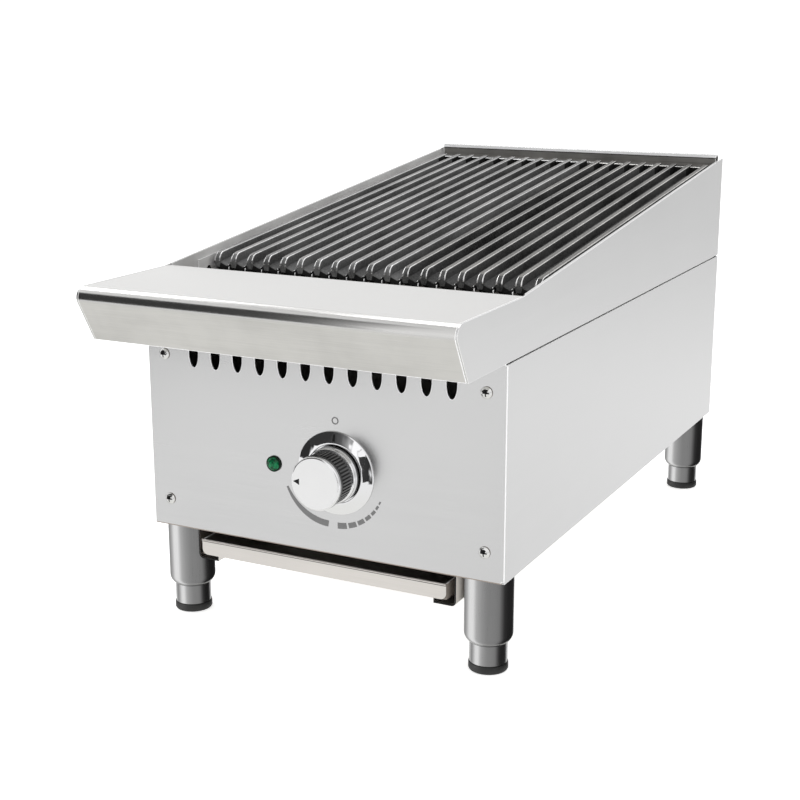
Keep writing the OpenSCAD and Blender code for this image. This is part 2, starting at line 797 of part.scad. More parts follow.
module back_panel_screws() {
    color(chrome) in_body() for (x = [-screw_x, screw_x], z = back_screw_zs) {
        translate([0, body_d, 0]) mirror([0, 1, 0]) cross_screw(x, 0, z);
    }
}

// Depth along the body and drop below the sides' top edge of each liner screw
liner_screw_places = [[80, 16], [290, 16], [500, 16]];

module liner_screws() {
    color(chrome) in_body() for (side = [-1, 1], p = liner_screw_places) on_side(side) {
        z = edge_z(p[0]) - p[1];
        rod_x(liner_x - sheet_t, inner_x - 0.1, p[0], z, 1.5);
        rod_x(liner_x - sheet_t - 1.2, liner_x - sheet_t, p[0], z, 3);
    }
}

front_panel();
side_panel(-1);  // left_side_panel
side_panel(1);  // right_side_panel
back_panel();
base_pan();
upper_side(-1);  // left_upper_side
upper_side(1);  // right_upper_side
front_ledge();
back_splash();
liner(-1);  // left_liner
liner(1);  // right_liner
back_liner();
front_baffle();
grate_rest(bar_front + 44);  // front_grate_rest
grate_rest(bar_back - 18);  // rear_grate_rest
grate(0, left_bars);  // left_grate
grate(left_bars, right_bars);  // right_grate
element(-1);  // left_element
element(1);  // right_element
element_nuts();
element_support(170);  // front_element_support
element_support(390);  // rear_element_support
regulator_body();
regulator_nut();
knob_shaft();
knob();
knob_pointer();
knob_bezel();
dial_scale();
lamp_body();
lamp_lens();
terminal_block();
supply_leads();
lead_grommet();
cord_gland();
gland_nut();
runner(-1);  // left_runner
runner(1);  // right_runner
runner_rivets();
drip_tray();
leg(-1, 0);  // front_left_leg
leg(1, 0);  // front_right_leg
leg(-1, 1);  // back_left_leg
leg(1, 1);  // back_right_leg
foot(-1, 0);  // front_left_foot
foot(1, 0);  // front_right_foot
foot(-1, 1);  // back_left_foot
foot(1, 1);  // back_right_foot
pad(-1, 0);  // front_left_pad
pad(1, 0);  // front_right_pad
pad(-1, 1);  // back_left_pad
pad(1, 1);  // back_right_pad
leg_bolts();
front_panel_screws();
back_panel_screws();
liner_screws();
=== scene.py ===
import json
import math

import bmesh
import bpy
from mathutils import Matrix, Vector

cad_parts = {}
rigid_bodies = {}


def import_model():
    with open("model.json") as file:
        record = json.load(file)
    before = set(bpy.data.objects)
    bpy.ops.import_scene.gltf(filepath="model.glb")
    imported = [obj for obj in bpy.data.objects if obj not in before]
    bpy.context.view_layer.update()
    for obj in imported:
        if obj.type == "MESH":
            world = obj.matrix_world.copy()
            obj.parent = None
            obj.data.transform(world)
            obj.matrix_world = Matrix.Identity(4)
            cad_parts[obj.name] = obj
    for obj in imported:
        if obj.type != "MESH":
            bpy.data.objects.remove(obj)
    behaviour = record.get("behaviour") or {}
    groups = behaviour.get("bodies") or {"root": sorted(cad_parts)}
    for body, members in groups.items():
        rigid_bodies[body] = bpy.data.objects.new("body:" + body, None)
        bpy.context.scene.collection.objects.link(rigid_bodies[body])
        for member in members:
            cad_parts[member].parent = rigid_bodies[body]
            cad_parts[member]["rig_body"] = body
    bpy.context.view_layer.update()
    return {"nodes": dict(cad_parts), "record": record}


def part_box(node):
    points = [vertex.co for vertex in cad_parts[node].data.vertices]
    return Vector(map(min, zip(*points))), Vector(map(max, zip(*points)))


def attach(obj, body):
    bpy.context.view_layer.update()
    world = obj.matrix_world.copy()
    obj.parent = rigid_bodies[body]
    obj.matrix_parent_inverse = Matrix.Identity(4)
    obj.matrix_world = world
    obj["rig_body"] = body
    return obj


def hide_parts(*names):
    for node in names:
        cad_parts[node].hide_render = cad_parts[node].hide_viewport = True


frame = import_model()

MM = 0.001
panel_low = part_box("front_panel")[0]
FACE_Y, BODY_Z = panel_low.y, panel_low.z     # the front panel's face and the body's underside


def at(x, y, z):
    """A point given in millimetres from the middle of the front panel's foot, y growing to the back."""
    return Vector((x * MM, FACE_Y + y * MM, BODY_Z + z * MM))


def span(node):
    """A node's lowest and highest corners in the same millimetres as at()."""
    return [Vector((c.x, c.y - FACE_Y, c.z - BODY_Z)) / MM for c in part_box(node)]


def middle(node):
    low, high = span(node)
    return (low + high) / 2


LEGS = ("front_left", "front_right", "back_left", "back_right")
KINK_Y = 25.0                           # where the sides' top edge starts to rise
GRATE_DROP = 3.0                        # how far the ridges lie below that edge
DECK_Z = span("front_ledge")[1].z
SIDE_TOP = span("right_upper_side")[1]
SLOPE = math.atan((SIDE_TOP.z - DECK_Z) / (SIDE_TOP.y - KINK_Y))


def on_slope(x, s, n):
    """A point of the grate plane: s runs up the slope from the kink, n is square to the ridges."""
    y = KINK_Y + s * math.cos(SLOPE) - n * math.sin(SLOPE)
    z = DECK_Z - GRATE_DROP + s * math.sin(SLOPE) + n * math.cos(SLOPE)
    return at(x, y, z)


# ---------------------------------------------------------------- camera, floor and light

def make_camera():
    """The place and the lens that bring the body's straight edges onto those of the photo."""
    data = bpy.data.cameras.new("camera")
    data.lens = 66.3
    data.sensor_width = 36.0
    cam = bpy.data.objects.new("camera", data)
    cam.location = at(536.6, -914.6, 394.7)
    cam.rotation_euler = (math.radians(75.43), math.radians(0.07), math.radians(27.06))
    bpy.context.scene.collection.objects.link(cam)
    bpy.context.scene.camera = cam


def make_floor():
    """A pale floor that stays out of the steel's sheen: the world holds the table that the steel mirrors."""
    reach = 30.0
    corners = [(-reach, -reach, 0), (reach, -reach, 0), (reach, reach, 0), (-reach, reach, 0)]
    mesh = bpy.data.meshes.new("floor")
    mesh.from_pydata(corners, [], [(0, 1, 2, 3)])
    floor = bpy.data.objects.new("floor", mesh)
    floor.location.z = -0.2 * MM
    floor.visible_glossy = False
    bpy.context.scene.collection.objects.link(floor)
    mat, _, shader = new_material("floor_paint")
    shader.inputs["Base Color"].default_value = (0.9, 0.9, 0.9, 1)
    shader.inputs["Roughness"].default_value = 0.8
    shader.inputs["Specular IOR Level"].default_value = 0.0
    shader.inputs["Emission Color"].default_value = (1, 1, 1, 1)
    shader.inputs["Emission Strength"].default_value = 0.6
    mesh.materials.append(mat)


def softbox(name, low, high, radiance):
    """A flat lamp overhead, from one corner to the other, facing down."""
    size = high - low
    data = bpy.data.lights.new(name, "AREA")
    data.shape = "RECTANGLE"
    data.size, data.size_y = size.x, size.y
    data.energy = radiance * math.pi * size.x * size.y
    light = bpy.data.objects.new(name, data)
    light.location = (low + high) / 2
    bpy.context.scene.collection.objects.link(light)


def make_lamps():
    """Two softboxes overhead on the left: their mirror images are the bright ends of the ledge's roll."""
    near, far, height = -0.3, 1.2, 1.9
    softbox("right_softbox", Vector((-0.765, near, height)), Vector((-0.35, far, height)), 3.2)
    softbox("left_softbox", Vector((-1.95, near, height)), Vector((-1.3, far, height)), 3.6)


def make_world():
    """A pale studio: bright table and walls, a softer ceiling, and a shaded corner behind on the right."""
    brightest = 1.3
    corner_shade = 0.3
    world = bpy.data.worlds.new("studio")
    world.use_nodes = True
    bpy.context.scene.world = world
    tree = world.node_tree
    tree.nodes["Background"].inputs["Strength"].default_value = brightest
    g = Graph(tree)
    split = g.node("ShaderNodeSeparateXYZ", Vector=g.node("ShaderNodeTexCoord").outputs["Generated"])
    x, _, z = (split.outputs[axis] for axis in "XYZ")
    table = [(-1.0, 0.90), (-0.6, 0.94), (-0.34, 0.99), (-0.26, 1.07)]
    walls = [(-0.1, 1.13), (0.08, 1.12), (0.2, 1.03), (0.45, 1.0), (0.66, 1.05)]
    ceiling = [(0.85, 0.8), (1.0, 0.75)]
    around = g.spread(z, [(place, level / brightest) for place, level in table + walls + ceiling])
    corner_height = g.spread(z, [(-0.24, 0.0), (-0.12, 1.0), (0.05, 1.0), (0.25, 0.0)])
    corner_side = g.spread(x, [(0.0, 0.0), (0.15, 1.0)])
    corner = g.math("MULTIPLY", corner_height, corner_side)
    level = g.math("MULTIPLY", around, g.math("SUBTRACT", 1.0, g.math("MULTIPLY", corner, corner_shade)))
    warm = g.spread(z, [(-0.7, 0.03), (-0.4, 0.0)])
    blue = g.math("MULTIPLY", level, g.math("SUBTRACT", 1.0, warm))
    colour = g.node("ShaderNodeCombineColor", Red=level, Green=level, Blue=blue)
    tree.links.new(colour.outputs[0], tree.nodes["Background"].inputs["Color"])


def sheen_card(name, columns, levels):
    """An upright card that shows in sheen alone. A column is its (top, foot) and has a level of its own."""
    mesh = bpy.data.meshes.new(name)
    points = [point for column in columns for point in column]
    mesh.from_pydata(points, [], [(k, k + 1, k + 3, k + 2) for k in range(0, len(points) - 2, 2)])
    glow = mesh.color_attributes.new("glow", "FLOAT_COLOR", "POINT")
    for k, level in enumerate(levels):
        for place in (2 * k, 2 * k + 1):
            glow.data[place].color = (level, level, level, 1)
    card = bpy.data.objects.new(name, mesh)
    bpy.context.scene.collection.objects.link(card)
    mat, g, shader = new_material(name)
    attribute = g.node("ShaderNodeVertexColor")
    attribute.layer_name = "glow"
    shader.inputs["Base Color"].default_value = (0.0, 0.0, 0.0, 1)
    shader.inputs["Specular IOR Level"].default_value = 0.0
    g.put(attribute.outputs["Color"], shader.inputs["Emission Color"])
    shader.inputs["Emission Strength"].default_value = 1.0
    mesh.materials.append(mat)
    card.visible_camera = False
    card.visible_diffuse = False
    card.visible_shadow = False


def make_dark_cards():
    """The dark room beyond the table, a window in it, the camera's stand and the room's dark left corner.

    A stop is (x, level) and a card is (name, y, foot, top, stops), in the millimetres of at().
    """
    wall = [(-3500.0, 0.04), (-190.0, 0.04), (-130.0, 0.07), (-85.0, 0.13), (-45.0, 0.35), (-20.0, 0.7),
            (0.0, 1.0)]
    window = [(-34.0, 0.6), (-27.0, 1.2), (16.0, 1.2), (24.0, 0.5)]
    stand = [(0.0, 0.3), (14.0, 0.05), (120.0, 0.03), (150.0, 0.25)]
    corner = [(-9000.0, 0.03), (-980.0, 0.03), (-900.0, 0.8)]
    cards = (
        ("dark_wall", -300, 98, 470, wall),
        ("window", -298, 90, 200, window),
        ("dark_stand", -800, -260, 118, stand),
        ("dark_corner", -800, -230, 130, corner),
    )
    for name, y, foot, top, stops in cards:
        columns = [(at(x, y, top), at(x, y, foot)) for x, _ in stops]
        sheen_card(name, columns, [level for _, level in stops])


def make_leg_cards():
    """A sleeve of graded light round each leg, turned the same way towards the camera at every leg."""
    radius, top, foot = 19.9, -0.5, -75.5
    aim = 66.6                          # how far the sleeve is turned from the camera's direction, in degrees
    rim = [(-157, 0.35), (-145, 0.5), (-133, 0.85), (-121, 1.6), (-108, 1.6), (-98, 0.88), (-85, 0.62)]
    middle_tone = [(-70, 0.46), (-52, 0.44), (-41, 0.38), (-34, 0.2)]
    shade = [(-26, 0.05), (-14, 0.02), (4, 0.02), (14, 0.03), (24, 0.12)]
    stops = rim + middle_tone + shade
    eye = bpy.context.scene.camera.location
    for leg in LEGS:
        centre = middle(leg + "_leg")
        spot = at(centre.x, centre.y, 0)
        turn = math.degrees(math.atan2(eye.y - spot.y, eye.x - spot.x)) + aim
        columns = []
        for angle, _ in stops:
            a = math.radians(angle + turn)
            x, y = centre.x + radius * math.cos(a), centre.y + radius * math.sin(a)
            columns.append((at(x, y, top), at(x, y, foot)))
        sheen_card(leg + "_card", columns, [level for _, level in stops])


# ---------------------------------------------------------------- material tools

class Graph:
    """Short calls that add nodes to a tree and return the socket that matters."""

    def __init__(self, tree):
        self.tree = tree

    def node(self, kind, **links):
        made = self.tree.nodes.new(kind)
        for name, value in links.items():
            self.put(value, made.inputs[name])
        return made

    def put(self, value, socket):
        if isinstance(value, bpy.types.NodeSocket):
            self.tree.links.new(value, socket)
        else:
            socket.default_value = value

    def math(self, operation, a, b):
        made = self.tree.nodes.new("ShaderNodeMath")
        made.operation = operation
        self.put(a, made.inputs[0])
        self.put(b, made.inputs[1])
        return made.outputs[0]

    def ramp(self, value, stops):
        """A grey ramp; stops are (position, level)."""
        made = self.tree.nodes.new("ShaderNodeValToRGB")
        elements = made.color_ramp.elements
        while len(elements) < len(stops):
            elements.new(0.5)
        for element, (place, level) in zip(elements, stops):
            element.position = place
            element.color = (level, level, level, 1)
        self.put(value, made.inputs[0])
        return made.outputs[0]

    def spread(self, component, stops):
        """A ramp over one component of a direction, whose stops run from -1 to 1."""
        half = self.math("MULTIPLY", self.math("ADD", component, 1.0), 0.5)
        return self.ramp(half, [((place + 1) / 2, level) for place, level in stops])

    def mix(self, factor, a, b):
        made = self.tree.nodes.new("ShaderNodeMix")
        made.data_type = "RGBA"
        colours = [socket for socket in made.inputs if socket.type == "RGBA"]
        self.put(factor, made.inputs[0])
        self.put(a, colours[0])
        self.put(b, colours[1])
        return next(socket for socket in made.outputs if socket.type == "RGBA")

    def place(self, scale=(1.0, 1.0, 1.0)):
        """Object coordinates in metres, stretched by scale along each axis."""
        made = self.node("ShaderNodeMapping", Vector=self.node("ShaderNodeTexCoord").outputs["Object"])
        made.inputs["Scale"].default_value = scale
        return made.outputs["Vector"]

    def noise(self, scale, vector, detail=4.0, roughness=0.55):
        made = self.node("ShaderNodeTexNoise", Vector=vector)
        made.inputs["Scale"].default_value = scale
        made.inputs["Detail"].default_value = detail
        made.inputs["Roughness"].default_value = roughness
        return made.outputs["Fac"]

    def bump(self, height, distance, strength=1.0, normal=None):
        made = self.node("ShaderNodeBump", Height=height)
        made.inputs["Distance"].default_value = distance
        made.inputs["Strength"].default_value = strength
        if normal is not None:
            self.put(normal, made.inputs["Normal"])
        return made.outputs["Normal"]


def new_material(name):
    mat = bpy.data.materials.new(name)
    mat.use_nodes = True
    return mat, Graph(mat.node_tree), mat.node_tree.nodes["Principled BSDF"]


def rgba(level):
    return (*level, 1.0) if isinstance(level, tuple) else (level, level, level, 1.0)


def scaled(colour, factor):
    return tuple(c * factor for c in rgba(colour)[:3])


def brushed(name, grain, colour, rough, contrast=0.03, marks=0.5, depth=0.00001, metallic=1.0):
    """Brushed steel: fine streaks along the axis where grain is small, wider bands and faint wiping marks."""
    mat, g, shader = new_material(name)
    shader.inputs["Metallic"].default_value = metallic
    fine = g.noise(1100.0, g.place(grain), detail=3.0, roughness=0.7)
    wide = g.noise(140.0, g.place(grain), detail=2.0)
    cloud = g.noise(14.0, g.place(), detail=4.0)
    streak = g.math("ADD", g.math("MULTIPLY", fine, 0.65), g.math("MULTIPLY", wide, 0.35))
    tone = g.math("ADD", streak, g.math("MULTIPLY", g.math("SUBTRACT", cloud, 0.5), marks))
    shade = g.ramp(tone, [(0.25, 0.0), (0.75, 1.0)])
    dark, light = rgba(scaled(colour, 1 - contrast)), rgba(scaled(colour, 1 + contrast))
    g.put(g.mix(shade, dark, light), shader.inputs["Base Color"])
    spread = g.math("MULTIPLY", g.math("ADD", streak, g.math("MULTIPLY", cloud, marks)), 0.12)
    g.put(g.math("ADD", spread, rough - 0.08), shader.inputs["Roughness"])
    g.put(g.bump(streak, depth, 0.5), shader.inputs["Normal"])
    return mat


def plated(name, colour, rough, contrast=0.05, waviness=0.0):
    """Chrome or zinc plate: bright, with a faint cloud and fine scratches; cheap pressings are wavy too."""
    mat, g, shader = new_material(name)
    shader.inputs["Metallic"].default_value = 1.0
    scratch = g.noise(700.0, g.place((1.0, 1.0, 0.15)), detail=4.0)
    cloud = g.noise(80.0, g.place())
    dark, light = rgba(scaled(colour, 1 - contrast)), rgba(colour)
    g.put(g.mix(cloud, dark, light), shader.inputs["Base Color"])
    g.put(g.math("ADD", g.math("MULTIPLY", scratch, 0.1), rough), shader.inputs["Roughness"])
    waves = g.bump(g.noise(110.0, g.place(), detail=1.0), waviness, 0.5) if waviness else None
    g.put(g.bump(scratch, 0.00001, 0.3, waves), shader.inputs["Normal"])
    return mat


def cast_iron(name, light, dark, rough, metallic, gloss=0.35):
    """Seasoned casting: sandy skin, soft lumps and duller patches."""
    mat, g, shader = new_material(name)
    shader.inputs["Metallic"].default_value = metallic
    shader.inputs["Specular IOR Level"].default_value = gloss
    sand = g.noise(800.0, g.place(), detail=5.0, roughness=0.65)
    lumps = g.noise(240.0, g.place(), detail=3.0)
    patch = g.noise(30.0, g.place((1.0, 0.4, 1.0)), detail=4.0)
    tone = g.math("ADD", g.math("MULTIPLY", sand, 0.5), g.math("MULTIPLY", patch, 0.5))
    shade = g.ramp(tone, [(0.38, 0.0), (0.62, 1.0)])
    g.put(g.mix(shade, rgba(dark), rgba(light)), shader.inputs["Base Color"])
    worn = g.ramp(patch, [(0.3, 0.0), (0.75, 1.0)])
    g.put(g.math("ADD", g.math("MULTIPLY", worn, 0.18), rough), shader.inputs["Roughness"])
    skin = g.bump(sand, 0.00010, 0.5)
    g.put(g.bump(lumps, 0.00025, 0.4, skin), shader.inputs["Normal"])
    return mat


def dull(name, light, dark, rough, grain=400.0, depth=0.00005, gloss=0.5):
    """Plastic, rubber, ceramic or ink: fine surface grain and a slight change of tone."""
    mat, g, shader = new_material(name)
    shader.inputs["Specular IOR Level"].default_value = gloss
    fine = g.noise(grain, g.place(), detail=4.0)
    wide = g.noise(grain / 12, g.place(), detail=3.0)
    g.put(g.mix(wide, rgba(dark), rgba(light)), shader.inputs["Base Color"])
    g.put(g.math("ADD", g.math("MULTIPLY", fine, 0.15), rough), shader.inputs["Roughness"])
    g.put(g.bump(fine, depth, 0.4), shader.inputs["Normal"])
    return mat


def lamp_green(name):
    """A moulded lens with darker and paler green cells."""
    mat, g, shader = new_material(name)
    shader.inputs["Coat Weight"].default_value = 0.15
    shader.inputs["Coat Roughness"].default_value = 0.08
    shader.inputs["Specular IOR Level"].default_value = 0.2
    cells = g.noise(420.0, g.place(), detail=2.0)
    shade = g.ramp(cells, [(0.35, 0.0), (0.65, 1.0)])
    g.put(g.mix(shade, rgba((0.0, 0.022, 0.008)), rgba((0.003, 0.2, 0.07))), shader.inputs["Base Color"])
    g.put(g.math("ADD", g.math("MULTIPLY", cells, 0.1), 0.15), shader.inputs["Roughness"])
    g.put(g.bump(cells, 0.0003, 0.5), shader.inputs["Normal"])
    return mat


# ---------------------------------------------------------------- mesh tools

FOLD = math.radians(28.0)   # edges sharper than this are rolled
CUT_EDGE = 1.5              # faces narrower than this, in millimetres, are a sheet's cut edge
stood_for = set()           # the nodes that already have a finished piece


def add_piece(name, mesh, body, mats, stands_for=(), sharp=35.0):
    """A finished piece that rides on a body; mats are in the order of the mesh's material numbers."""
    for mat in mats:
        mesh.materials.append(mat)
    mesh.polygons.foreach_set("use_smooth", [True] * len(mesh.polygons))
    mesh.set_sharp_from_angle(angle=math.radians(sharp))
    piece = bpy.data.objects.new(name, mesh)
    bpy.context.scene.collection.objects.link(piece)
    even = piece.modifiers.new("even_normals", "WEIGHTED_NORMAL")
    even.keep_sharp = True
    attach(piece, body)
    if stands_for:
        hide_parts(*stands_for)
        stood_for.update(stands_for)


def from_bmesh(name, bm):
    bmesh.ops.recalc_face_normals(bm, faces=bm.faces)
    mesh = bpy.data.meshes.new(name)
    bm.to_mesh(mesh)
    bm.free()
    return mesh


def refined(node, mats, edge=0.3, paint=None, split_z=(), clamp=True):
    """A CAD node's own shape with rolled edges, standing for that node.

    With more than one material the rolled edges and the sheet's cut edges take the second one, in most lists
    the near-white cut edge that also serves as a painted highlight.
    paint(spot, normal, number) may then give a face another number; split_z lists heights at which
    the faces are cut for it.
    """
    source = frame["nodes"][node]
    bm = bmesh.new()
    bm.from_mesh(source.data)
    bmesh.ops.remove_doubles(bm, verts=bm.verts, dist=1e-6)
    bmesh.ops.dissolve_limit(bm, angle_limit=math.radians(0.5), verts=bm.verts, edges=bm.edges)
    for z in split_z:
        everything = bm.verts[:] + bm.edges[:] + bm.faces[:]
        bmesh.ops.bisect_plane(bm, geom=everything, plane_co=at(0, 0, z), plane_no=(0, 0, 1))
    edge_number = 1 if len(mats) > 1 else 0
    for face in bm.faces:
        narrow = face.calc_area() / (face.calc_perimeter() / 2) < CUT_EDGE * MM
        apart = all(e.calc_face_angle(math.pi) > FOLD for e in face.edges)
        face.material_index = edge_number if narrow and apart else 0
    sharp = [e for e in bm.edges if len(e.link_faces) == 2 and e.calc_face_angle() > FOLD]
    bmesh.ops.bevel(bm, geom=sharp, offset=edge * MM, offset_type="OFFSET", segments=2, profile=0.6,
                    affect="EDGES", clamp_overlap=clamp, material=edge_number)
    if paint:
        for face in bm.faces:
            c = face.calc_center_median()
            spot = Vector((c.x, c.y - FACE_Y, c.z - BODY_Z)) / MM
            face.material_index = paint(spot, face.normal, face.material_index)
    mesh = from_bmesh(node + "_finished", bm)
    add_piece(node + "_finished", mesh, source["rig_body"], mats, (node,))


def lathe(name, profile, centre, upright, segments=128, ripple=None):
    """A turned mesh around a vertical axis, or one that points out of the front panel.

    profile is a closed half section of (radius, height, material number); the number is for the face that
    starts at the point. ripple(radius, height, angle) may change a radius.
    """
    def spot(radius, height, angle):
        r = ripple(radius, height, angle) if ripple else radius
        a, b = r * math.cos(angle), r * math.sin(angle)
        if upright:
            return at(centre.x + a, centre.y + b, height)
        return at(centre.x + a, -height, centre.z + b)

    bm = bmesh.new()
    rings = []
    for radius, height, _ in profile:
        count = segments if radius > 0 else 1
        rings.append([bm.verts.new(spot(radius, height, 2 * math.pi * k / segments)) for k in range(count)])
    for i, (radius, _, number) in enumerate(profile):
        ring, following = rings[i], rings[(i + 1) % len(rings)]
        if len(ring) == 1 and len(following) == 1:
            continue
        for k in range(segments):
            j = (k + 1) % segments
            corners = [ring[k % len(ring)], ring[j % len(ring)], following[j % len(following)],
                       following[k % len(following)]]
            face = bm.faces.new(list(dict.fromkeys(corners)))
            face.material_index = number
    return from_bmesh(name, bm)


def loft(bm, rings, numbers):
    """Skins a row of closed rings of points; a ring's sides take the materials in numbers, both ends 0."""
    rows = [[bm.verts.new(p) for p in ring] for ring in rings]
    count = len(rings[0])
    for first, second in zip(rows, rows[1:]):
        for k in range(count):
            j = (k + 1) % count
            face = bm.faces.new((first[k], first[j], second[j], second[k]))
            face.material_index = numbers[k]
    bm.faces.new(rows[0])
    bm.faces.new(rows[-1])


# ---------------------------------------------------------------- grates

BAR_PITCH = 15.67
LEFT_BARS, RIGHT_BARS = 11, 8
BAR_FRONT, BAR_BACK = 57.0, 495.0
BED_BACK = 473.0                        # where the beds between the bars end
BAR_FOOT = -20.0                        # a bar's lowest edge, under the ridges
NOSE_R = 8.0
TIP_END = BAR_FRONT + 5                 # a nose is dark on its face up to here
NOSE_END = BAR_FRONT + 16               # and its rolled edges are polished, and brightened as a painted highlight, up to here
FIRST_BAR_X = -BAR_PITCH * (LEFT_BARS + RIGHT_BARS - 1) / 2
# EDGE and LINE are polished edges made near-white as a painted highlight; the shade under the bars is painted
# in too.
FLANK, RIDGE, EDGE, UNDER_SHADE, LINE = 0, 1, 2, 3, 4      # material numbers on a casting


def add_rib(bm, x):
    """One upright bar with a flat ridge, rolled edges and a round nose that flares towards its foot."""
    ridge = 1.75
    left = [(-1.6, BAR_FOOT), (-2.6, -7.6), (-2.5, -1.1), (-2.25, -0.4), (-ridge, 0.0)]
    section = left + [(0.0, -0.15)] + [(-across, n) for across, n in reversed(left)]
    numbers = [FLANK, FLANK, EDGE, EDGE, RIDGE, RIDGE, EDGE, FLANK, FLANK, FLANK, FLANK]
    turns = [math.radians(a) for a in (10, 24, 38, 52, 66, 80, 90)]
    stations = [(BAR_FRONT + NOSE_R * (1 - math.cos(a)), math.sin(a)) for a in turns]
    straight = (NOSE_END, BAR_FRONT + 40, BAR_FRONT + 160, BAR_FRONT + 300, BED_BACK, BAR_BACK)
    stations += [(s, 1.0) for s in straight]
    rings = []
    for s, rise in stations:
        foot = max(BAR_FOOT, -11.6 - 0.75 * (s - BAR_FRONT))
        flare = 1 + 0.22 * (1 - rise)
        ring = []
        for across, n in section:
            height = -NOSE_R + (n + NOSE_R) * rise if n > -NOSE_R else foot
            pinch = 1 - 0.3 * (1 - rise) if abs(across) == ridge else 1.0
            ring.append(on_slope(x + across * flare * pinch, s, height))
        rings.append(ring)
    loft(bm, rings, numbers)


def add_gutter(bm, x):
    """The bed on a bar's right, falling away from it to a small lip, with its front edge rounded down."""
    section = [(2.2, -6.6), (2.9, -7.2), (8.9, -9.9), (9.7, -9.2), (10.3, -9.0), (10.9, -9.4), (11.0, -10.2),
               (10.6, -13.2), (2.2, -11.3)]
    numbers = [FLANK, FLANK, FLANK, EDGE, FLANK, FLANK, FLANK, FLANK, FLANK]
    rounded = [(BAR_FRONT + 0.4, -0.9), (BAR_FRONT + 1.0, -0.3), (BAR_FRONT + 2.4, 0.0)]
    straight = [(BAR_FRONT + 160, 0.0), (BAR_FRONT + 300, 0.0), (BED_BACK, 0.0)]
    rings = [[on_slope(x + across, s, n + drop) for across, n in section] for s, drop in rounded + straight]
    loft(bm, rings, numbers)


def add_hook(bm, x):
    """The thin drip hook at the bed's outer front corner; its path is (across, s, height, radius)."""
    sides = 8
    path = [(10.4, 3.0, -10.8, 0.5), (10.7, 0.6, -11.1, 0.5), (11.0, -0.4, -12.6, 0.42),
            (11.1, -0.8, -14.6, 0.3)]
    turns = [2 * math.pi * k / sides for k in range(sides)]
    rings = []
    for across, s, n, r in path:
        rings.append([on_slope(x + across + r * math.cos(a), BAR_FRONT + s + 0.5 * r * math.sin(a),
                               n + r * math.sin(a)) for a in turns])
    loft(bm, rings, [EDGE] * sides)


def add_slab(bm, x0, x1, s0, s1, n0, n1):
    """A cross member with rounded upper edges."""
    r = 0.7
    outline = [(s0, n0), (s0, n1 - r), (s0 + 0.3 * r, n1 - 0.3 * r), (s0 + r, n1), (s1 - r, n1),
               (s1 - 0.3 * r, n1 - 0.3 * r), (s1, n1 - r), (s1, n0)]
    numbers = [FLANK, EDGE, EDGE, FLANK, EDGE, EDGE, FLANK, FLANK]
    loft(bm, [[on_slope(x, s, n) for s, n in outline] for x in (x0, x1)], numbers)


def slope_place(point):
    """Where a point lies on the grate plane: how far up the slope, and its height above the ridges."""
    offset = point - on_slope(0, 0, 0)
    up_slope = Vector((0, math.cos(SLOPE), math.sin(SLOPE)))
    square = Vector((0, -math.sin(SLOPE), math.cos(SLOPE)))
    return offset.dot(up_slope) / MM, offset.dot(square) / MM


def make_grate(node, first, count, gutters, mats):
    """A casting whose polished noses are brightened by a painted highlight, with painted shade below the
    noses, under the beds and around the rear rail.
    """
    bm = bmesh.new()
    for i in range(first, first + count):
        add_rib(bm, FIRST_BAR_X + i * BAR_PITCH)
    for i in range(first, first + gutters):
        add_gutter(bm, FIRST_BAR_X + i * BAR_PITCH)
        add_hook(bm, FIRST_BAR_X + i * BAR_PITCH)
    left = FIRST_BAR_X + first * BAR_PITCH - 2
    right = FIRST_BAR_X + (first + count - 1) * BAR_PITCH + 2
    for s in (BAR_FRONT + 30, BAR_FRONT + 170, BAR_FRONT + 310, BAR_BACK - 26):
        add_slab(bm, left, right, s, s + 8, -19.6, -11.8)
    add_slab(bm, left, right, BAR_BACK - 7, BAR_BACK, -13.0, -1.2)
    for face in bm.faces:
        s, n = slope_place(face.calc_center_median())
        # Painted shade under the noses and around the rear rail; the rolled edges past the nose become
        # highlight lines.
        under_nose = s < TIP_END and n < -9.6
        at_rail = s > BED_BACK - 8 and face.material_index == FLANK and n < -1.5
        if face.material_index != EDGE and (under_nose or at_rail):
            face.material_index = UNDER_SHADE
        elif face.material_index == RIDGE and s < TIP_END:
            face.material_index = FLANK
        elif face.material_index == EDGE and s > NOSE_END:
            face.material_index = LINE
    name = node + "_casting"
    add_piece(name, from_bmesh(name, bm), node, mats, (node,), sharp=50.0)


# ---------------------------------------------------------------- knob, bezel, lamp and screws

